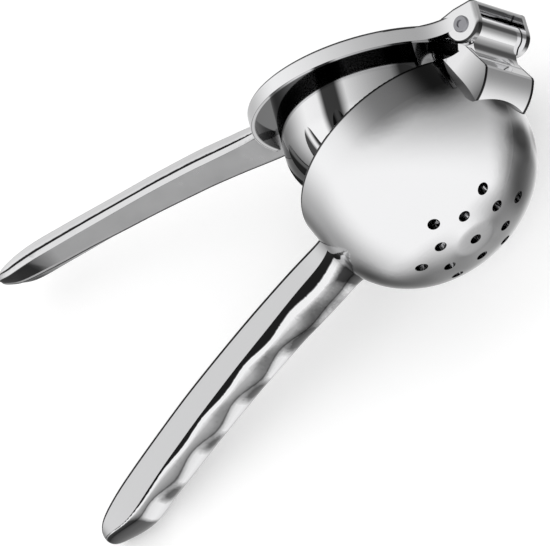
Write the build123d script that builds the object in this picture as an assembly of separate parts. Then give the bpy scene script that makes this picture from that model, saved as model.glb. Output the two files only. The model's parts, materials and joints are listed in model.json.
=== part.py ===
"""Hinged lemon squeezer in polished stainless steel, a quarter open, lying on its side.

The pieces are modelled on the bench first: X runs from the handles to the hinge, Y along the
hinge pin, and Z is the way the bowl opens. The bowl's rim is in the plane Z = 0 and centred on
the origin. The press is drawn closed, then swung open about the pin. Last of all the whole
squeezer is laid on its side, and its origin put at the bottom centre of its box.
"""

import math
import os

from build123d import *

# ---- bowl -----------------------------------------------------------------------------------
BOWL_RADIUS = 39.0  # outside, at the rim
BOWL_WALL = 2.0
BOWL_STRAIGHT = 10.75  # height of the cylindrical wall under the rim
BOWL_DOME = 32.64  # depth of the dome under that wall
DOME_POWER = 2.21  # 2 is a half ellipse, more is squarer
RIM_ROUNDING = 0.6
DRAIN_DIAMETER = 4.0
DRAIN_RINGS = ((12.84, 0.0), (19.2, 30.0))  # radius of the ring, turn of its first hole
DRAINS_PER_RING = 6

# ---- hinge ----------------------------------------------------------------------------------
HINGE_X = 49.67
HINGE_Z = 1.31
PIN_RADIUS = 2.2
PIN_CLEARANCE = 0.05  # radial, between the pin and the knuckle it turns in
PIN_HEAD_RADIUS = 2.75
PIN_HEAD_HEIGHT = 0.7
PIN_DIMPLE_RADIUS = 1.3
PIN_DIMPLE_DEPTH = 0.5
EAR_OUTSIDE = 15.0  # half the width over both ears
EAR_INSIDE = 12.0
EAR_RADIUS = 6.2  # round the pin
HINGE_BACK = HINGE_X + EAR_RADIUS
EAR_ROUNDING = 1.2
EAR_BLEND = 12.0  # inward curve from the plate's edge to the ear
KNUCKLE_RADIUS = 4.4
KNUCKLE_HALF = 11.6
NECK_HALF = 13.3
BRIDGE_UNDERSIDE = 6.0
BRIDGE_TOP = 7.8

# ---- press ----------------------------------------------------------------------------------
PLATE_RADIUS = 41.7
PLATE_TOP = 6.6
PLATE_UNDERSIDE = 4.5
SKIRT_BOTTOM = 1.03
SKIRT_WALL = 1.7
PLATE_ROUNDING = 1.2  # of the top edge, which runs on over the ears
CUP_RADIUS = 33.0
CUP_WALL = 2.4
CUP_STRAIGHT = 11.0  # how far the cup's wall runs straight below the rim plane
CUP_KNUCKLE = 17.0  # radius of the turn from the wall to the nose
CUP_TURN = 75.0  # degrees of that turn
FLUTES = 16
FLUTE_RADIUS = 5.0  # of the groove's own round section
FLUTE_START = 7.0  # degrees down the turn, where a flute runs out into the wall
FLUTE_SHIFT = (-2.0, 3.4)  # x and z from the centre of the turn to that of a flute's path
FLUTE_END = 20.0  # how far from the cup's axis the flutes stop at the nose
BOSS_RADIUS = 36.3  # clears the inside of the bowl's rim
BOSS_HALF = 14.5
BOSS_BOTTOM = -6.0

# ---- upper handle ---------------------------------------------------------------------------
# x, half the width, and the heights of the keel, the crease above it, the crown's foot, its top
UPPER_HANDLE = (
    (-49.0, 8.1, 0.3, 6.7, 8.7, 14.3),
    (-56.0, 8.0, 1.2, 7.1, 9.1, 15.1),
    (-64.0, 8.0, 2.1, 7.6, 9.7, 15.9),
    (-72.0, 8.0, 2.9, 8.2, 10.3, 16.6),
    (-82.0, 8.0, 3.6, 8.7, 10.8, 17.1),
    (-93.0, 8.0, 4.3, 9.1, 11.2, 17.5),
    (-105.0, 8.0, 4.9, 9.3, 11.4, 17.7),
    (-118.0, 8.0, 5.4, 9.4, 11.6, 17.9),
    (-131.0, 8.0, 6.0, 9.5, 11.7, 18.2),
    (-144.0, 8.0, 6.3, 9.5, 11.7, 18.4),
    (-155.0, 8.0, 6.7, 9.5, 11.5, 18.4),
    (-163.0, 7.6, 7.1, 9.3, 11.2, 17.8),
    (-169.0, 6.6, 7.9, 9.6, 11.4, 16.8),
    (-173.0, 5.2, 9.2, 10.5, 12.2, 15.6),
    (-175.4, 3.6, 10.2, 11.1, 12.4, 14.5),
    (-176.6, 2.2, 10.9, 11.6, 12.6, 13.7),
)
KEEL_ROUNDING = 1.0  # half the width of its round edge
CREASE = 0.3  # how far the web stands back under the cap

# ---- lower handle ---------------------------------------------------------------------------
GRIP_HALF = 7.0
GRIP_TOP_ROUNDING = 1.6
# How full the belly's curve is: 0.55 is half round, less is more pointed, more is squarer.
ROUND_BELLY = 0.55
RIDGE_BELLY = 0.46
SCALLOP_BELLY = 0.68

# ---- how it lies ----------------------------------------------------------------------------
OPEN_ANGLE = 25.0
# On a table it touches at the bowl's side, the plate's edge and the tip of the lower handle.
LEAN = 11.20  # how far the handles then point down
ROLL = 2.62  # how far the press then stands above the bowl

hinge_axis = Axis((HINGE_X, 0, HINGE_Z), (0, 1, 0))


# ---- drawing helpers ------------------------------------------------------------------------
def side_face(*edges):
    """A face on the squeezer's middle plane, from edges drawn as (x, z)."""
    return Plane.XZ * make_face(Curve() + list(edges))


def across(face, low, high):
    """A middle-plane face given the width from low to high along the pin."""
    return Pos(0, high, 0) * extrude(face, amount=high - low)


def station(x, z=0.0):
    """The plane across the handles at x, with its own origin at height z."""
    return Plane(origin=(x, 0, z), x_dir=(0, 1, 0), z_dir=(1, 0, 0))


def upright(radius, low, high):
    """A round disc about the bowl's axis."""
    return Pos(0, 0, (low + high) / 2) * Cylinder(radius, high - low)


def pin_rod(radius, low, high):
    """A round bar along the hinge pin."""
    return Pos(HINGE_X, (low + high) / 2, HINGE_Z) * Rot(X=90) * Cylinder(radius, high - low)


def dome_edges(radius, straight, depth):
    """Half the section of a bowl: its mouth, wall, dome and axis."""
    turns = [math.radians(90 * i / 8) for i in range(8)]
    dome = [
        (radius * math.cos(a) ** (2 / DOME_POWER), -straight - depth * math.sin(a) ** (2 / DOME_POWER))
        for a in turns
    ]
    dome.append((0, -straight - depth))
    return (
        Polyline((0, 0), (radius, 0), (radius, -straight)),
        Spline(dome, tangents=[(0, -1), (-1, 0)]),
        Line(dome[-1], (0, 0)),
    )


def cup_edges(radius, knuckle, top):
    """Half the section of the press cup: straight wall, turn, nose and axis."""
    centre_x = radius - knuckle
    turn = math.radians(CUP_TURN)
    nose_radius = knuckle + centre_x / math.cos(turn)
    nose_centre = -CUP_STRAIGHT + centre_x * math.tan(turn)
    return (
        Polyline((0, nose_centre - nose_radius), (0, top), (radius, top), (radius, -CUP_STRAIGHT)),
        CenterArc((centre_x, -CUP_STRAIGHT), knuckle, -CUP_TURN, CUP_TURN),
        CenterArc((0, nose_centre), nose_radius, -90, 90 - CUP_TURN),
    )


# ---- the bowl and what is fixed to it -------------------------------------------------------
def bowl_body():
    """The bowl's outer form, filled."""
    return revolve(side_face(*dome_edges(BOWL_RADIUS, BOWL_STRAIGHT, BOWL_DOME)), Axis.Z, 360)


def strainer_bowl():
    """The drawn bowl with its drain holes."""
    inside = dome_edges(BOWL_RADIUS - BOWL_WALL, BOWL_STRAIGHT, BOWL_DOME - BOWL_WALL)
    bowl = bowl_body() - revolve(side_face(*inside), Axis.Z, 360)
    rim_edges = bowl.edges().filter_by(GeomType.CIRCLE).group_by(Axis.Z)[-1]
    bowl = fillet(rim_edges, RIM_ROUNDING)
    drain = upright(DRAIN_DIAMETER / 2, -BOWL_STRAIGHT - BOWL_DOME - 4, -BOWL_DOME / 2)
    bowl -= drain
    for ring, first in DRAIN_RINGS:
        for i in range(DRAINS_PER_RING):
            bowl -= Rot(Z=first + 360 / DRAINS_PER_RING * i) * Pos(ring, 0, 0) * drain
    return bowl


def grip_section(x, half, low, shoulder, high, fullness=ROUND_BELLY):
    """The grip cut across at x: a belly, flat sides above its shoulder, and eased top corners."""
    reach = fullness * (shoulder - low)
    eased = min(GRIP_TOP_ROUNDING, (high - shoulder) / 2)
    return station(x) * make_face(
        Curve()
        + [
            Bezier((0, low), (fullness * half, low), (half, shoulder - reach), (half, shoulder)),
            Line((half, shoulder), (half, high - eased)),
            CenterArc((half - eased, high - eased), eased, 0, 90),
            Line((half - eased, high), (eased - half, high)),
            CenterArc((eased - half, high - eased), eased, 90, 90),
            Line((-half, high - eased), (-half, shoulder)),
            Bezier((-half, shoulder), (-half, shoulder - reach), (-fullness * half, low), (0, low)),
        ]
    )


def lower_handle():
    """The grip: four finger scallops under it, a blunt tip, and a flare where it meets the bowl."""
    sections = [
        grip_section(-34.0, 13.5, -22.5, -7.2, -1.6),
        grip_section(-38.0, 9.9, -18.6, -6.8, -0.9),
        grip_section(-42.0, 8.1, -17.0, -6.4, 0.5),
        grip_section(-47.0, 7.2, -16.6, -6.0, 1.7),
        grip_section(-55.0, GRIP_HALF, -15.9, -5.4, 2.8),
        grip_section(-64.5, GRIP_HALF, -15.0, -5.0, 3.7, RIDGE_BELLY),
        grip_section(-77.5, GRIP_HALF, -12.7, -4.7, 4.7, SCALLOP_BELLY),
        grip_section(-89.9, GRIP_HALF, -12.7, -4.3, 5.4, RIDGE_BELLY),
        grip_section(-102.3, GRIP_HALF, -11.0, -4.2, 5.9, SCALLOP_BELLY),
        grip_section(-114.7, GRIP_HALF, -11.5, -4.2, 6.2, RIDGE_BELLY),
        grip_section(-127.1, GRIP_HALF, -10.1, -4.5, 6.1, SCALLOP_BELLY),
        grip_section(-139.5, GRIP_HALF, -10.9, -5.0, 5.8, RIDGE_BELLY),
        grip_section(-151.9, GRIP_HALF, -9.5, -6.0, 5.3, SCALLOP_BELLY),
        grip_section(-158.5, GRIP_HALF, -9.9, -6.4, 4.8),
        grip_section(-163.5, 6.9, -8.7, -6.0, 4.2),
        grip_section(-168.0, 6.6, -7.1, -4.7, 3.5),
        grip_section(-172.0, 5.9, -5.5, -3.2, 2.5),
        grip_section(-174.6, 4.6, -4.5, -2.2, 1.4),
        grip_section(-176.2, 2.6, -3.4, -1.6, 0.0),
    ]
    return loft(sections) - bowl_body()


def hinge_neck():
    """The block that carries the hinge on the bowl."""
    rim, inside_wall = 0.0, 28.0
    under_ear, corner, foot = (45.2, -3.9), (46.0, -14.6), (34.0, -20.0)
    profile = side_face(
        Polyline(foot, (inside_wall, foot[1]), (inside_wall, rim), (36.4, rim)),
        ThreePointArc((36.4, rim), (40.8, -2.7), under_ear),
        Line(under_ear, corner),
        ThreePointArc(corner, (41.0, -18.3), foot),
    )
    neck = across(profile, -NECK_HALF, NECK_HALF) - bowl_body()
    outer_edges = neck.edges().filter_by(GeomType.LINE).filter_by(Axis.Y).group_by(Axis.X)[-1]
    return chamfer(outer_edges, 0.5)


def hinge_knuckle():
    """The barrel between the ears, with the foot it stands on."""
    foot = side_face(
        Polyline((45.9, -9.5), (42.0, -9.5), (42.0, -1.5), (46.2, 3.4), (50.5, -2.9)),
        ThreePointArc((50.5, -2.9), (47.4, -4.6), (45.9, -9.5)),
    )
    knuckle = across(foot, -KNUCKLE_HALF, KNUCKLE_HALF)
    knuckle += pin_rod(KNUCKLE_RADIUS, -KNUCKLE_HALF, KNUCKLE_HALF)
    return knuckle - hinge_neck() - bowl_body() - pin_rod(PIN_RADIUS + PIN_CLEARANCE, -20, 20)


# ---- the press and what is fixed to it, drawn closed ----------------------------------------
def cup_body():
    """The press cup's outer form, filled up to the plate."""
    return revolve(side_face(*cup_edges(CUP_RADIUS, CUP_KNUCKLE, PLATE_UNDERSIDE)), Axis.Z, 360)


def press_cup():
    """The fluted cup that pushes into the fruit, hollow and open at the top."""
    inside = cup_edges(CUP_RADIUS - CUP_WALL, CUP_KNUCKLE - CUP_WALL, PLATE_UNDERSIDE)
    cup = cup_body() - revolve(side_face(*inside), Axis.Z, 360)
    # A flute's floor is a round path that leaves the turn's own surface at the start angle.
    start = math.radians(FLUTE_START)
    shift_x, shift_z = FLUTE_SHIFT
    floor_radius = CUP_KNUCKLE - shift_x * math.cos(start) + shift_z * math.sin(start)
    path_x = CUP_RADIUS - CUP_KNUCKLE + shift_x
    path_z = -CUP_STRAIGHT + shift_z
    groove = Pos(path_x, 0, path_z) * Rot(X=90) * Torus(floor_radius + FLUTE_RADIUS, FLUTE_RADIUS)
    groove &= Pos(FLUTE_END + 20, 0, path_z - 20) * Box(40, 4 * FLUTE_RADIUS, 40)
    for i in range(FLUTES):
        cup -= Rot(Z=360 / FLUTES * (i + 0.5)) * groove
    return cup


def press_plate():
    """The round plate over the bowl's mouth, with its turned-down skirt."""
    plate = upright(PLATE_RADIUS, SKIRT_BOTTOM, PLATE_TOP)
    plate -= upright(PLATE_RADIUS - SKIRT_WALL, SKIRT_BOTTOM, PLATE_UNDERSIDE)
    plate = fillet(plate.edges().group_by(Axis.Z)[-1], PLATE_ROUNDING)
    return plate - upright(CUP_RADIUS - CUP_WALL, PLATE_UNDERSIDE - 1, PLATE_TOP + 1)


def ear(side):
    """One hinge ear, side -1 or 1, curving into the plate's edge."""
    outline = side_face(
        Polyline(
            (HINGE_BACK, BRIDGE_TOP - PLATE_ROUNDING), (HINGE_BACK, HINGE_Z), (HINGE_X, HINGE_Z),
            (HINGE_X, SKIRT_BOTTOM), (36, SKIRT_BOTTOM), (36, PLATE_TOP), (40, PLATE_TOP),
            (48, BRIDGE_TOP), (HINGE_BACK - PLATE_ROUNDING, BRIDGE_TOP),
        ),
        CenterArc((HINGE_BACK - PLATE_ROUNDING, BRIDGE_TOP - PLATE_ROUNDING), PLATE_ROUNDING, 0, 90),
    )
    cheek = across(outline, EAR_INSIDE, EAR_OUTSIDE)
    rims = cheek.faces().sort_by(Axis.Y)[-1].edges()
    shown = [rim for rim in rims if (rim @ 0.5).Z > PLATE_TOP - 0.01 or (rim @ 0.5).X > HINGE_BACK - 0.5]
    cheek = fillet(shown, EAR_ROUNDING)
    lobe = pin_rod(EAR_RADIUS, EAR_INSIDE, EAR_OUTSIDE)
    cheek += fillet(lobe.edges().group_by(Axis.Y)[-1], EAR_ROUNDING)
    # The blend is what is left of a corner block outside the round tool that touches both.
    tool_y = EAR_OUTSIDE + EAR_BLEND
    tool_x = math.sqrt((PLATE_RADIUS + EAR_BLEND) ** 2 - tool_y**2)
    blend = Pos((tool_x + 30) / 2, (EAR_INSIDE + tool_y) / 2, (SKIRT_BOTTOM + PLATE_TOP) / 2)
    blend *= Box(tool_x - 30, tool_y - EAR_INSIDE, PLATE_TOP - SKIRT_BOTTOM)
    blend -= Pos(tool_x, tool_y, 0) * Cylinder(EAR_BLEND, 40)
    blend = fillet(blend.edges().filter_by(GeomType.CIRCLE).group_by(Axis.Z)[-1], PLATE_ROUNDING)
    blend -= Rot(Z=math.degrees(math.atan2(tool_y, tool_x))) * Pos(20, 40, 0) * Box(80, 80, 40)
    cheek = cheek + blend - upright(PLATE_RADIUS, -20, 20) - pin_rod(PIN_RADIUS, -20, 20)
    return cheek if side > 0 else mirror(cheek, Plane.XZ)


def hinge_bridge():
    """The plate that joins the ears over the knuckle."""
    profile = side_face(
        Polyline(
            (HINGE_BACK - PLATE_ROUNDING, BRIDGE_TOP), (48, BRIDGE_TOP), (40, PLATE_TOP), (36, PLATE_TOP),
            (36, 3.4), (42.4, 3.4), (45.4, BRIDGE_UNDERSIDE), (HINGE_BACK, BRIDGE_UNDERSIDE),
            (HINGE_BACK, BRIDGE_TOP - PLATE_ROUNDING),
        ),
        CenterArc((HINGE_BACK - PLATE_ROUNDING, BRIDGE_TOP - PLATE_ROUNDING), PLATE_ROUNDING, 0, 90),
    )
    return across(profile, -EAR_INSIDE, EAR_INSIDE) - upright(PLATE_RADIUS, -20, 20)


def hinge_boss():
    """The thick pad under the plate, between the cup and the hinge."""
    boss = upright(BOSS_RADIUS, BOSS_BOTTOM, PLATE_UNDERSIDE)
    boss &= Pos(40, 0, 0) * Box(40, 2 * BOSS_HALF, 40)
    boss = fillet(boss.edges().filter_by(Axis.Z).group_by(Axis.X)[-1], 6.5)
    boss = fillet(boss.edges().group_by(Axis.Z)[0].filter_by(GeomType.CIRCLE), 1.5)
    return boss - cup_body()


def hinge_pin():
    """The pin, its two ends peened over the ears and dimpled by the punch."""
    reach = EAR_OUTSIDE + PIN_HEAD_HEIGHT
    pin = pin_rod(PIN_RADIUS, -reach, reach)
    for side in (-1, 1):
        head = pin_rod(PIN_HEAD_RADIUS, *sorted((side * EAR_OUTSIDE, side * reach)))
        head = fillet(head.edges().group_by(Axis.Y)[-1 if side > 0 else 0], 0.4)
        pin += head
        pin -= pin_rod(PIN_DIMPLE_RADIUS, *sorted((side * (reach - PIN_DIMPLE_DEPTH), side * (reach + 1))))
    return pin


def cap_section(x, half, low, side, high):
    """The cap cut across at x: a flat underside, upright sides and a half-round top."""
    base = Polyline((-half, side), (-half, low), (half, low), (half, side))
    crown = EllipticalCenterArc((0, side), half, high - side, start_angle=0, arc_size=180)
    return station(x) * make_face(Curve() + [base, crown])


def handle_cap():
    """The half-round top of the upper handle, flaring out onto the plate."""
    sections = [
        cap_section(-30.0, 11.5, 6.0, 6.7, 7.2),
        cap_section(-36.0, 10.4, 6.1, 7.4, 9.4),
        cap_section(-42.0, 9.1, 6.4, 8.1, 12.2),
    ]
    sections += [cap_section(x, half, crease, foot, top) for x, half, _, crease, foot, top in UPPER_HANDLE]
    return loft(sections) - upright(PLATE_RADIUS, SKIRT_BOTTOM, PLATE_TOP)


def web_section(x, half, low, crease):
    """The web cut across at x: a shallow V with a round edge. Its top reaches into the cap."""
    shoulder = low + 0.5 * KEEL_ROUNDING
    top = crease + 1.0
    left = Polyline((-KEEL_ROUNDING, shoulder), (CREASE - half, crease), (CREASE - half, top))
    right = Polyline((half - CREASE, top), (half - CREASE, crease), (KEEL_ROUNDING, shoulder))
    edge = ThreePointArc((KEEL_ROUNDING, shoulder), (0, low), (-KEEL_ROUNDING, shoulder))
    return station(x) * make_face(Curve() + [left, Line(left @ 1, right @ 0), right, edge])


def handle_web():
    """The keeled underside of the upper handle, running in under the plate to the cup."""
    sections = [
        web_section(-26.0, 8.2, -2.0, 6.3),
        web_section(-34.0, 8.2, -1.3, 6.3),
        web_section(-42.0, 8.2, -0.5, 6.4),
    ]
    sections += [web_section(x, half, keel, crease) for x, half, keel, crease, _, _ in UPPER_HANDLE]
    web = loft(sections) - upright(PLATE_RADIUS, PLATE_UNDERSIDE, 20)
    return web - handle_cap() - press_plate() - cup_body()


# ---- putting it together --------------------------------------------------------------------
def lay_down(pieces):
    """The open squeezer laid on its side, with its origin at the bottom centre of its box."""
    turn = Rot(Y=-LEAN) * Rot(X=ROLL) * Rot(X=-90)
    turned = {name: turn * piece for name, piece in pieces.items()}
    box = Compound(children=[piece.solid() for piece in turned.values()]).bounding_box()
    move = Pos(-box.center().X, -box.center().Y, -box.min.Z)
    return {name: move * piece for name, piece in turned.items()}, move * turn


fixed_pieces = {
    "strainer_bowl": strainer_bowl(),
    "lower_handle": lower_handle(),
    "hinge_neck": hinge_neck(),
    "hinge_knuckle": hinge_knuckle(),
}
press_pieces = {
    "press_plate": press_plate(),
    "press_cup": press_cup(),
    "handle_cap": handle_cap(),
    "handle_web": handle_web(),
    "near_ear": ear(-1),
    "far_ear": ear(1),
    "hinge_bridge": hinge_bridge(),
    "hinge_boss": hinge_boss(),
    "hinge_pin": hinge_pin(),
}
opened_pieces = {name: piece.rotate(hinge_axis, OPEN_ANGLE) for name, piece in press_pieces.items()}
squeezer, placing = lay_down({**fixed_pieces, **opened_pieces})

os.makedirs("parts", exist_ok=True)
for name, piece in squeezer.items():
    export_step(piece, f"parts/{name}.step")
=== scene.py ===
"""Hinged lemon squeezer in mirror-polished stainless steel, lying on its side, a quarter open.

The bench frame is the one that the pieces are drawn in: X from the handles to the hinge, Y along
the hinge pin, Z the way the bowl opens, in millimetres, with the bowl's rim centred on the origin.
on_bench and on_press take a point from there to where it is at rest.
"""

import json
import math

import bmesh
import bpy
from mathutils import Matrix, Vector

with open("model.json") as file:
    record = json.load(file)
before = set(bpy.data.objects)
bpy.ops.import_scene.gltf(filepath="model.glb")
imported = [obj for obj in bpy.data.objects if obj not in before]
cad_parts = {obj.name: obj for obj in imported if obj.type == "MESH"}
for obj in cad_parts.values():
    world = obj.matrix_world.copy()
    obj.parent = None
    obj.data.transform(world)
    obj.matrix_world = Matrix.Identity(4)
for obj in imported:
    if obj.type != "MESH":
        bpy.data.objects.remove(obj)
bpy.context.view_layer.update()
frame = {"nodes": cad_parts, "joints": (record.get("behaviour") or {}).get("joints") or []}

MM = 0.001
HINGE_X, HINGE_Z = 49.67, 1.31
OPEN_ANGLE = math.radians(25)
LEAN = math.radians(11.20)  # how far the handles point down, as it lies
ROLL = math.radians(2.62)  # how far the press stands above the bowl
ON_ITS_SIDE = Matrix.Rotation(math.radians(-90), 4, "X")

hinge_at = Vector(next(j["pos_m"] for j in frame["joints"] if j["name"] == "press_hinge"))
hinge_on_bench = Vector((HINGE_X, 0, HINGE_Z))
from_hinge = Matrix.Translation(-hinge_on_bench)
laid = Matrix.Rotation(-LEAN, 4, "Y") @ Matrix.Rotation(ROLL, 4, "X") @ ON_ITS_SIDE
on_bench = Matrix.Translation(hinge_at) @ laid @ Matrix.Scale(MM, 4) @ from_hinge
opened = Matrix.Rotation(OPEN_ANGLE, 4, "Y")
on_press = on_bench @ Matrix.Translation(hinge_on_bench) @ opened @ from_hinge


# ---- nodes ----------------------------------------------------------------------------------
def linear(hex_colour):
    """An sRGB hex colour as the linear RGBA that Blender works in."""
    channels = [int(hex_colour[i : i + 2], 16) / 255 for i in (1, 3, 5)]
    return [c / 12.92 if c <= 0.04045 else ((c + 0.055) / 1.055) ** 2.4 for c in channels] + [1.0]


def node(tree, kind, links=(), stops=(), **settings):
    """Adds a node. A setting named for an input sets its value; links are (input, what goes in),
    either an output socket or a value; stops are the (place, grey) of a colour ramp, from 0 to 1."""
    new = tree.nodes.new(kind)
    for number, (place, grey) in enumerate([*stops[:1], *stops[-1:], *stops[1:-1]]):
        ramp = new.color_ramp.elements
        stop = ramp[number] if number < 2 else ramp.new(place)
        stop.position = place
        stop.color = (grey, grey, grey, 1)
    for name, value in settings.items():
        if hasattr(new, name):
            setattr(new, name, value)
        else:
            new.inputs[name.replace("_", " ")].default_value = value
    for name, source in links:
        if isinstance(source, bpy.types.NodeSocket):
            tree.links.new(source, new.inputs[name])
        else:
            new.inputs[name].default_value = source
    return new


def drawn_frame(tree, pose):
    """The point and the way it faces, turned back to how its piece was drawn, in millimetres."""
    place, turn, scale = pose.inverted().decompose()
    source = node(tree, "ShaderNodeTexCoord")
    point = node(
        tree, "ShaderNodeMapping", [("Vector", source.outputs["Object"])],
        Location=place, Rotation=turn.to_euler(), Scale=scale,
    )
    facing = node(
        tree, "ShaderNodeMapping", [("Vector", source.outputs["Normal"])],
        vector_type="VECTOR", Rotation=turn.to_euler(),
    )
    return point.outputs["Vector"], facing.outputs["Vector"]


def soft_patches(tree, direction, patches):
    """A grey that is 1, but darker round each patch. A patch is the way it lies, in degrees round
    from +X and up, the angles at which it starts and stops fading, and how dark it is."""
    grey = 1.0
    for around, up, start, stop, dark in patches:
        around, up = math.radians(around), math.radians(up)
        towards = (math.cos(up) * math.cos(around), math.cos(up) * math.sin(around), math.sin(up))
        dot = node(
            tree, "ShaderNodeVectorMath", [(0, direction), (1, towards)], operation="DOT_PRODUCT",
        ).outputs["Value"]
        angle = node(tree, "ShaderNodeMath", [(0, dot)], operation="ARCCOSINE").outputs["Value"]
        patch = node(
            tree, "ShaderNodeMapRange", [("Value", angle)], interpolation_type="SMOOTHSTEP",
            From_Min=math.radians(start), From_Max=math.radians(stop), To_Min=dark, To_Max=1.0,
        ).outputs["Result"]
        grey = node(
            tree, "ShaderNodeMath", [(0, grey), (1, patch)], operation="MULTIPLY",
        ).outputs["Value"]
    return grey


def side_to_top(tree, facing):
    """How far the surface has turned: 0 faces down, 0.5 to the side, 1 up."""
    facing = node(tree, "ShaderNodeSeparateXYZ", [("Vector", facing)]).outputs
    sideways = node(tree, "ShaderNodeMath", [(0, facing["Y"])], operation="ABSOLUTE")
    turn = node(
        tree, "ShaderNodeMath", [(0, facing["Z"]), (1, sideways.outputs["Value"])],
        operation="ARCTAN2",
    ).outputs["Value"]
    return node(
        tree, "ShaderNodeMapRange", [("Value", turn)], From_Min=-math.pi / 2, From_Max=math.pi / 2,
    ).outputs["Result"]


def round_the_axis(tree, point):
    """How far round from +X a point is, on either side: 0 at +X, 1 at -X."""
    point = node(tree, "ShaderNodeSeparateXYZ", [("Vector", point)]).outputs
    sideways = node(tree, "ShaderNodeMath", [(0, point["Y"])], operation="ABSOLUTE")
    turn = node(
        tree, "ShaderNodeMath", [(0, sideways.outputs["Value"]), (1, point["X"])],
        operation="ARCTAN2",
    ).outputs["Value"]
    return node(tree, "ShaderNodeMapRange", [("Value", turn)], From_Max=math.pi).outputs["Result"]


# ---- shades ---------------------------------------------------------------------------------
# A mirror finish shows lines and bars of its own neighbours and of the dark room around it, which
# a white tent doesn't give. Each shade paints these reflections, and shade, into the base colour, as a
# grey that darkens it where they fall. It goes by the drawn piece's own points and normals, so it
# stays on the steel from every side.
# A ramp's stops are (place, grey), and lengths and heights are millimetres.
# Painted reflections on the grip, from facing down to facing up.
GRIP_RAMP = (
    (0.0, 0.95), (0.083, 0.85), (0.139, 0.5),  # the underside of the belly
    (0.165, 0.06), (0.178, 0.25), (0.3, 0.5),  # a thin dark line, then grey
    (0.36, 1.0), (0.411, 1.0),  # a white round below the flat side
    (0.422, 0.015), (0.4917, 0.015),  # the lower black line
    (0.4956, 0.74), (0.5044, 0.74),  # the flat side
    (0.5083, 0.02), (0.778, 0.02),  # the upper black line
    (0.83, 0.95), (1.0, 0.95),  # the top
)
# Painted shade in the scallops' pockets.
POCKET_FROM, POCKET_TO = -0.14, -0.02  # how far a scallop faces the tip where it is dark, and plain
POCKET_DARK = 0.12
POCKET_SIDE_FROM, POCKET_SIDE_TO = 0.28, 0.36  # the turn at which the pockets fade, and are gone


def grip_shade(tree, point, facing):
    """Painted reflections and shade: bright flat sides between two black lines, and dark pockets in
    the scallops, where the belly turns towards the tip."""
    turn = side_to_top(tree, facing)
    lines = node(tree, "ShaderNodeValToRGB", [("Fac", turn)], stops=GRIP_RAMP).outputs["Color"]
    forward = node(tree, "ShaderNodeSeparateXYZ", [("Vector", facing)]).outputs["X"]
    pocket = node(
        tree, "ShaderNodeMapRange", [("Value", forward)],
        From_Min=POCKET_FROM, From_Max=POCKET_TO, To_Min=POCKET_DARK, To_Max=1.0,
    ).outputs["Result"]
    side = node(
        tree, "ShaderNodeMapRange", [("Value", turn)],
        From_Min=POCKET_SIDE_FROM, From_Max=POCKET_SIDE_TO,
    ).outputs["Result"]
    belly = node(
        tree, "ShaderNodeMath", [(0, pocket), (1, side)], operation="MAXIMUM",
    ).outputs["Value"]
    return node(
        tree, "ShaderNodeMath", [(0, lines), (1, belly)], operation="MULTIPLY",
    ).outputs["Value"]


# Painted reflections on the cap, from facing down to facing up.
CAP_RAMP = (
    (0.0, 0.5), (0.48, 0.9), (0.503, 0.9),  # the upright side
    (0.506, 0.02), (0.55, 0.02),  # the black line where the crown starts
    (0.562, 1.0), (0.72, 1.0), (0.85, 0.6), (1.0, 0.6),  # the crown
)


def cap_shade(tree, point, facing):
    """Painted reflections: a bright side strip, a black line where the crown starts, and a bright
    crown.
    """
    turn = side_to_top(tree, facing)
    return node(tree, "ShaderNodeValToRGB", [("Fac", turn)], stops=CAP_RAMP).outputs["Color"]


# Painted reflections and shade on the web, from facing down to facing up.
WEB_RAMP = (
    (0.0, 0.02), (0.1, 0.02),  # the keel's edge
    (0.12, 0.5), (0.45, 0.5),  # the flanks
    (0.47, 0.05), (1.0, 0.1),  # the crease under the cap
)


def web_shade(tree, point, facing):
    """Painted reflections and shade: even grey flanks, a black line along the keel, and dark in the
    crease.
    """
    turn = side_to_top(tree, facing)
    return node(tree, "ShaderNodeValToRGB", [("Fac", turn)], stops=WEB_RAMP).outputs["Color"]


# Painted reflections round the cup's wall, from the hinge side to the handle side.
CUP_RAMP = (
    (0.0, 0.1), (0.21, 0.05),  # dark towards the hinge
    (0.24, 0.5), (0.39, 1.0),  # grey, rising to white
    (0.42, 0.05), (0.47, 0.05),  # the black bar
    (0.49, 1.0), (0.55, 1.0),  # the white bar
    (0.7, 0.2), (1.0, 0.1),  # falling off towards the handle
)
# Painted shadow of the plate along the top of the cup's wall.
CUP_SHADOW_FROM, CUP_SHADOW_TO = -3.5, -1.0  # the heights where the plate's shadow starts, and is whole
CUP_SHADOW_DARK = 0.5
# Painted shade: a plain grey inside the cup and on its nose.
CUP_PLAIN = 0.7  # inside and on the nose, where there are no bars
OUTWARD_FROM, OUTWARD_TO = 0.05, 0.35  # how far outward the wall faces where bars start, and are whole
# Painted shade on the flutes' flanks.
FLUTE_FROM, FLUTE_TO = 0.1, 0.3  # how far a flank slants where it starts to darken, and is dark
FLUTE_DARK = 0.08


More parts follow.
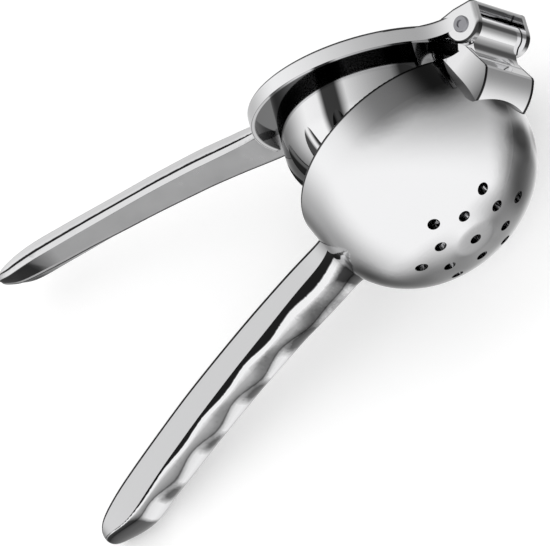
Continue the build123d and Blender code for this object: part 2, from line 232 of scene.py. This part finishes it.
def cup_shade(tree, point, facing):
    """Painted reflections and shade: tall dark and white bars round the outside wall, the plate's
    painted shadow along its top, and dark flanks in the flutes."""
    around = round_the_axis(tree, point)
    bars = node(tree, "ShaderNodeValToRGB", [("Fac", around)], stops=CUP_RAMP).outputs["Color"]
    height = node(tree, "ShaderNodeSeparateXYZ", [("Vector", point)]).outputs["Z"]
    shadow = node(
        tree, "ShaderNodeMapRange", [("Value", height)],
        From_Min=CUP_SHADOW_FROM, From_Max=CUP_SHADOW_TO, To_Min=1.0, To_Max=CUP_SHADOW_DARK,
    ).outputs["Result"]
    wall = node(
        tree, "ShaderNodeMath", [(0, bars), (1, shadow)], operation="MULTIPLY",
    ).outputs["Value"]
    flat = node(
        tree, "ShaderNodeVectorMath", [(0, point), (1, (1, 1, 0))], operation="MULTIPLY",
    ).outputs["Vector"]
    radial = node(tree, "ShaderNodeVectorMath", [(0, flat)], operation="NORMALIZE").outputs["Vector"]
    outward = node(
        tree, "ShaderNodeVectorMath", [(0, radial), (1, facing)], operation="DOT_PRODUCT",
    ).outputs["Value"]
    outside = node(
        tree, "ShaderNodeMapRange", [("Value", outward)], From_Min=OUTWARD_FROM, From_Max=OUTWARD_TO,
    ).outputs["Result"]
    whole = node(
        tree, "ShaderNodeMix", [("Factor", outside), ("B", wall)], A=CUP_PLAIN,
    ).outputs["Result"]
    across = node(
        tree, "ShaderNodeVectorMath", [(0, radial), (1, facing)], operation="CROSS_PRODUCT",
    ).outputs["Vector"]
    slant = node(tree, "ShaderNodeSeparateXYZ", [("Vector", across)]).outputs["Z"]
    slant = node(tree, "ShaderNodeMath", [(0, slant)], operation="ABSOLUTE").outputs["Value"]
    flute = node(
        tree, "ShaderNodeMapRange", [("Value", slant)],
        From_Min=FLUTE_FROM, From_Max=FLUTE_TO, To_Min=1.0, To_Max=FLUTE_DARK,
    ).outputs["Result"]
    return node(
        tree, "ShaderNodeMath", [(0, whole), (1, flute)], operation="MULTIPLY",
    ).outputs["Value"]


# Painted shade under the plate and inside the skirt, and painted reflections along its edges.
SKIRT_REACH = 50.0  # from the axis to the end of the skirt's ramp
SKIRT_BANDS = (  # how far from the axis, and the grey there
    (0.0, 0.3), (40.0, 0.2), (40.15, 0.05),  # under the plate and inside the skirt
    (40.45, 0.9), (41.2, 0.9),  # the bright line along its edge
    (41.4, 0.2), (41.575, 1.0), (SKIRT_REACH, 1.0),  # a dark line, then its outside
)
SKIRT_FROM, SKIRT_TO = 4.7, 5.2  # the heights where the skirt's bands fade, and are gone
PLATE_EDGE_RAMP = (  # from facing sideways to facing up
    (0.0, 1.0), (0.12, 1.0),  # the skirt's outside
    (0.3, 0.08), (0.8, 0.08),  # the black line round the rounded edge
    (0.92, 1.0), (1.0, 1.0),  # the top
)


def plate_shade(tree, point, facing):
    """Painted shade inside the skirt and under the plate, and painted reflections: a bright line along
    the skirt's edge, and a black line round the plate's rounded edge."""
    to_ramp = (1 / SKIRT_REACH, 1 / SKIRT_REACH, 0)
    flat = node(
        tree, "ShaderNodeVectorMath", [(0, point), (1, to_ramp)], operation="MULTIPLY",
    ).outputs["Vector"]
    radius = node(tree, "ShaderNodeVectorMath", [(0, flat)], operation="LENGTH").outputs["Value"]
    bands = [(distance / SKIRT_REACH, grey) for distance, grey in SKIRT_BANDS]
    below = node(tree, "ShaderNodeValToRGB", [("Fac", radius)], stops=bands).outputs["Color"]
    height = node(tree, "ShaderNodeSeparateXYZ", [("Vector", point)]).outputs["Z"]
    above = node(
        tree, "ShaderNodeMapRange", [("Value", height)], From_Min=SKIRT_FROM, From_Max=SKIRT_TO,
    ).outputs["Result"]
    skirt = node(
        tree, "ShaderNodeMath", [(0, below), (1, above)], operation="MAXIMUM",
    ).outputs["Value"]
    upward = node(tree, "ShaderNodeSeparateXYZ", [("Vector", facing)]).outputs["Z"]
    edge = node(
        tree, "ShaderNodeValToRGB", [("Fac", upward)], stops=PLATE_EDGE_RAMP,
    ).outputs["Color"]
    return node(
        tree, "ShaderNodeMath", [(0, skirt), (1, edge)], operation="MULTIPLY",
    ).outputs["Value"]


# Painted reflections on the bowl, placed by the way the surface faces.
BOWL_PATCHES = (
    (-33, 8, 8, 30, 0.02), (-62, 12, 5, 28, 0.2),  # by the neck
    (-3, -14, 4, 16, 0.08), (9, -38, 4, 16, 0.2), (31, -28, 3, 12, 0.1),  # the hinge side
    (28, -56, 8, 25, 0.25), (52, -74, 8, 26, 0.25),
    (-154, 2, 8, 26, 0.02), (-166, -14, 4, 15, 0.05), (-166, -28, 10, 28, 0.04),  # the handle side
    (176, -36, 4, 15, 0.05), (176, -44, 10, 28, 0.05),
    (158, -50, 4, 16, 0.06), (165, -68, 8, 30, 0.2),
)
RIM_FROM, RIM_TO = -1.2, -0.9  # the heights where the rim's line starts, and is dark
RIM_DARK = 0.05


def bowl_shade(tree, point, facing):
    """Painted reflections: dark crescents towards the hinge and the handle, and a dark line on the rim.
    """
    crescents = soft_patches(tree, facing, BOWL_PATCHES)
    height = node(tree, "ShaderNodeSeparateXYZ", [("Vector", point)]).outputs["Z"]
    rim = node(
        tree, "ShaderNodeMapRange", [("Value", height)],
        From_Min=RIM_FROM, From_Max=RIM_TO, To_Min=1.0, To_Max=RIM_DARK,
    ).outputs["Result"]
    return node(
        tree, "ShaderNodeMath", [(0, crescents), (1, rim)], operation="MULTIPLY",
    ).outputs["Value"]


# Painted reflections and shade on the neck.
NECK_PATCHES = ((180, 0, 40, 70, 0.02), (180, -45, 20, 50, 0.05))
NECK_EDGE_FROM, NECK_EDGE_TO = 11.9, 12.2  # from its middle to where the black line starts, and is dark
NECK_EDGE_DARK = 0.02
NECK_FALL_FROM, NECK_FALL_TO = -19.0, -6.0  # the heights where its sides are darkest, and plain
NECK_FALL_DARK = 0.2


def neck_shade(tree, point, facing):
    """Painted reflections and shade: light sides that darken towards the bowl, a black line where the
    outer face starts, and black where the block looks back at the bowl."""
    bowl = soft_patches(tree, facing, NECK_PATCHES)
    point = node(tree, "ShaderNodeSeparateXYZ", [("Vector", point)]).outputs
    out = node(tree, "ShaderNodeMath", [(0, point["Y"])], operation="ABSOLUTE").outputs["Value"]
    line = node(
        tree, "ShaderNodeMapRange", [("Value", out)],
        From_Min=NECK_EDGE_FROM, From_Max=NECK_EDGE_TO, To_Min=1.0, To_Max=NECK_EDGE_DARK,
    ).outputs["Result"]
    fall = node(
        tree, "ShaderNodeMapRange", [("Value", point["Z"])],
        From_Min=NECK_FALL_FROM, From_Max=NECK_FALL_TO, To_Min=NECK_FALL_DARK,
    ).outputs["Result"]
    sideways = node(tree, "ShaderNodeSeparateXYZ", [("Vector", facing)]).outputs["Y"]
    sideways = node(tree, "ShaderNodeMath", [(0, sideways)], operation="ABSOLUTE").outputs["Value"]
    face = node(
        tree, "ShaderNodeMix", [("Factor", sideways), ("A", line), ("B", fall)],
    ).outputs["Result"]
    return node(
        tree, "ShaderNodeMath", [(0, bowl), (1, face)], operation="MULTIPLY",
    ).outputs["Value"]


# Painted reflections on the ears.
EAR_RAMP = (  # from facing sideways to facing up or down
    (0.0, 1.0), (0.15, 1.0),  # the flat faces
    (0.32, 0.06), (0.75, 0.06),  # the dark line on the rounded edges
    (0.93, 0.8), (1.0, 0.8),  # the narrow sides
)


def ear_shade(tree, point, facing):
    """Painted reflections: white flat faces with a dark line on their rounded edges."""
    upward = node(tree, "ShaderNodeSeparateXYZ", [("Vector", facing)]).outputs["Z"]
    upward = node(tree, "ShaderNodeMath", [(0, upward)], operation="ABSOLUTE").outputs["Value"]
    return node(tree, "ShaderNodeValToRGB", [("Fac", upward)], stops=EAR_RAMP).outputs["Color"]


# Painted shade under the plate.
BOSS_PATCHES = ((0, -90, 100, 170, 0.4),)


def boss_shade(tree, point, facing):
    """Painted shade: dark all round and below, where little light gets under the plate."""
    return soft_patches(tree, facing, BOSS_PATCHES)


# Painted reflections on the barrel.
KNUCKLE_PATCHES = ((0, 20, 6, 14, 0.1), (0, -35, 6, 16, 0.3))


def knuckle_shade(tree, point, facing):
    """Painted reflections: dark stripes along the side of the barrel that faces away from the bowl."""
    return soft_patches(tree, facing, KNUCKLE_PATCHES)


# ---- materials ------------------------------------------------------------------------------
# Lengths are millimetres.
CLOUD_WIDTH = 11.11
WAVE_LENGTH = 22.22
HAIRLINE_GAP = 0.3846  # polishing grit leaves finer ones, drawn as coarse as they need to show
HAIRLINE_DEPTH = 0.0005
FAINT_WAVES, LOW_WAVES, HIGH_WAVES = 0.01, 0.02, 0.04  # how high the buffed waves stand
CLOUDS_FROM, CLOUDS_TO = 0.3, 0.7  # the noise that is taken as clearest and as cloudiest
CLEAREST, CLOUDIEST = 0.6, 1.6  # times the roughness


def polished_steel(name, hex_colour, roughness, wave_height, pose=None, shade=None):
    """Stainless steel buffed to a mirror. The hand buffing leaves long, low waves that bend its
    reflections, a faint cloudiness in patches, and hairlines that only show in the highlights.
    pose is where the piece was taken from the drawing, for shade, which paints reflections and shade
    into its colour."""
    material = bpy.data.materials.new(name)
    material.use_nodes = True
    tree = material.node_tree
    shader = tree.nodes["Principled BSDF"]
    shader.inputs["Base Color"].default_value = linear(hex_colour)
    shader.inputs["Metallic"].default_value = 1.0
    place = node(tree, "ShaderNodeTexCoord").outputs["Object"]
    cloud = node(
        tree, "ShaderNodeTexNoise", [("Vector", place)], Scale=1 / (CLOUD_WIDTH * MM), Detail=4.0,
    )
    haze = node(
        tree, "ShaderNodeMapRange", [("Value", cloud.outputs["Fac"])],
        From_Min=CLOUDS_FROM, From_Max=CLOUDS_TO,
        To_Min=roughness * CLEAREST, To_Max=roughness * CLOUDIEST,
    )
    tree.links.new(haze.outputs["Result"], shader.inputs["Roughness"])
    waves = node(
        tree, "ShaderNodeTexNoise", [("Vector", place)], Scale=1 / (WAVE_LENGTH * MM), Detail=0.0,
    )
    hairlines = node(
        tree, "ShaderNodeTexNoise", [("Vector", place)], Scale=1 / (HAIRLINE_GAP * MM), Detail=1.0,
    )
    buffed = node(
        tree, "ShaderNodeBump", [("Height", waves.outputs["Fac"])],
        Strength=1.0, Distance=wave_height * MM,
    )
    scratched = node(
        tree, "ShaderNodeBump",
        [("Height", hairlines.outputs["Fac"]), ("Normal", buffed.outputs["Normal"])],
        Strength=1.0, Distance=HAIRLINE_DEPTH * MM,
    )
    tree.links.new(scratched.outputs["Normal"], shader.inputs["Normal"])
    # shade paints reflections and shade into the base colour.
    if shade:
        grey = shade(tree, *drawn_frame(tree, pose))
        tint = node(
            tree, "ShaderNodeMix", [("A", grey)], data_type="RGBA", blend_type="MULTIPLY",
            B=linear(hex_colour), Factor=1.0,
        )
        tree.links.new(tint.outputs["Result"], shader.inputs["Base Color"])
    return material


# SHEET and CAST are the steel's own colours; the pin's grey is painted darker, as shade round its ends
# in the ear's recess.
SHEET, CAST, PAINTED_DARK_PIN = "#F2F2F3", "#F0F0F1", "#9A9A9E"

# Each piece with a shade gets its own copy of its steel, with painted reflections and shade in the base
# colour.
# Drawn sheet starts smooth, so it takes the cleanest mirror and has almost no waves.
bowl_steel = polished_steel("drawn_bowl_steel", SHEET, 0.08, FAINT_WAVES, on_bench, bowl_shade)
cup_steel = polished_steel("drawn_cup_steel", SHEET, 0.06, FAINT_WAVES, on_press, cup_shade)

# Castings are ground first, so their mirror is wavier, most of all on the handles and the bridge.
cast_steel = polished_steel("polished_cast_steel", CAST, 0.07, HIGH_WAVES)
grip_steel = polished_steel("polished_grip_steel", CAST, 0.07, HIGH_WAVES, on_bench, grip_shade)
cap_steel = polished_steel("polished_cap_steel", CAST, 0.07, HIGH_WAVES, on_press, cap_shade)
plate_steel = polished_steel("polished_plate_steel", CAST, 0.07, LOW_WAVES, on_press, plate_shade)
neck_steel = polished_steel("polished_neck_steel", CAST, 0.07, LOW_WAVES, on_bench, neck_shade)
ear_steel = polished_steel("polished_ear_steel", CAST, 0.07, LOW_WAVES, on_press, ear_shade)

# The buffing wheel hardly gets under the plate and the cap: the boss keeps a faint haze there, and
# the web's flanks stay satin.
boss_steel = polished_steel("cast_boss_steel", CAST, 0.12, HIGH_WAVES, on_press, boss_shade)
web_steel = polished_steel("brushed_web_steel", CAST, 0.38, LOW_WAVES, on_press, web_shade)

# The barrel and the pin are turned from bar. The pin's ends are peened, so it is duller; its grey is
# painted darker, as shade round its ends in the ear's recess.
knuckle_steel = polished_steel(
    "turned_knuckle_steel", CAST, 0.08, LOW_WAVES, on_bench, knuckle_shade,
)
pin_steel = polished_steel("turned_pin_steel", PAINTED_DARK_PIN, 0.14, FAINT_WAVES)

finishes = {
    "strainer_bowl": bowl_steel, "lower_handle": grip_steel, "hinge_neck": neck_steel,
    "hinge_knuckle": knuckle_steel, "press_plate": plate_steel, "press_cup": cup_steel,
    "handle_cap": cap_steel, "handle_web": web_steel, "near_ear": ear_steel, "far_ear": ear_steel,
    "hinge_bridge": cast_steel, "hinge_boss": boss_steel, "hinge_pin": pin_steel,
}
for name, piece in frame["nodes"].items():
    piece.data.materials.clear()
    piece.data.materials.append(finishes[name])


# ---- floor and world ------------------------------------------------------------------------
FLOOR_HALF = 3.0
FLOOR_LIFT = 0.25  # the card's own glow to the eye, which keeps it white around the soft shadow


def matt_card():
    """Matt white card: even and white to the eye, and it keeps a soft shadow."""
    material = bpy.data.materials.new("matt_white_card")
    material.use_nodes = True
    tree = material.node_tree
    tree.nodes.remove(tree.nodes["Principled BSDF"])
    diffuse = node(tree, "ShaderNodeBsdfDiffuse", Color=linear("#F4F4F4"))
    seen = node(tree, "ShaderNodeLightPath").outputs["Is Camera Ray"]
    lift = node(tree, "ShaderNodeMath", [(0, seen), (1, FLOOR_LIFT)], operation="MULTIPLY")
    glow = node(tree, "ShaderNodeEmission", [("Strength", lift.outputs["Value"])])
    lifted = node(
        tree, "ShaderNodeAddShader", [(0, diffuse.outputs["BSDF"]), (1, glow.outputs["Emission"])],
    )
    tree.links.new(lifted.outputs["Shader"], tree.nodes["Material Output"].inputs["Surface"])
    return material


floor_mesh = bmesh.new()
bmesh.ops.create_grid(floor_mesh, x_segments=1, y_segments=1, size=FLOOR_HALF)
floor_data = bpy.data.meshes.new("floor")
floor_mesh.to_mesh(floor_data)
floor_mesh.free()
floor = bpy.data.objects.new("floor", floor_data)
bpy.context.scene.collection.objects.link(floor)
floor_data.materials.append(matt_card())
floor.visible_glossy = False  # the metal mirrors the whole studio, also from below

FLAGS = (
    (35, 10, 25, 105, 0.4),  # past the hinge, the widest
    (160, -30, 10, 62, 0.35),  # past the handles, from below
    (-15, -52, 10, 42, 0.35),  # under the hinge
)


def studio():
    """A white world; to polished metal it is a white tent with soft dark flags."""
    world = bpy.data.worlds.new("studio")
    world.use_nodes = True
    tree = world.node_tree
    way = node(tree, "ShaderNodeTexCoord").outputs["Generated"]
    tent = soft_patches(tree, way, FLAGS)
    mirroring = node(tree, "ShaderNodeLightPath").outputs["Is Glossy Ray"]
    strength = node(tree, "ShaderNodeMix", [("Factor", mirroring), ("B", tent)], A=1.0)
    tree.links.new(strength.outputs["Result"], tree.nodes["Background"].inputs["Strength"])
    tree.nodes["Background"].inputs["Color"].default_value = linear("#FFFFFF")
    return world


bpy.context.scene.world = studio()

# ---- camera ---------------------------------------------------------------------------------
EYE = Vector((299.57, -763.52, -539.45))  # on the bench, as are the two directions
IMAGE_RIGHT = Vector((0.56228, 0.64260, -0.52049))
IMAGE_UP = Vector((0.74481, -0.12004, 0.65639))
LENS, SENSOR = 196.36, 36.0
CLIP_START = 0.01

camera_data = bpy.data.cameras.new("camera")
camera_data.lens = LENS
camera_data.sensor_width = SENSOR
camera_data.sensor_fit = "HORIZONTAL"
camera_data.clip_start = CLIP_START
camera = bpy.data.objects.new("camera", camera_data)
bpy.context.scene.collection.objects.link(camera)
turned = Matrix((IMAGE_RIGHT, IMAGE_UP, IMAGE_RIGHT.cross(IMAGE_UP))).transposed()
camera.matrix_world = Matrix.Translation(on_bench @ EYE) @ (laid @ turned.to_4x4())
bpy.context.scene.camera = camera

bpy.context.scene.view_settings.view_transform = "Standard"
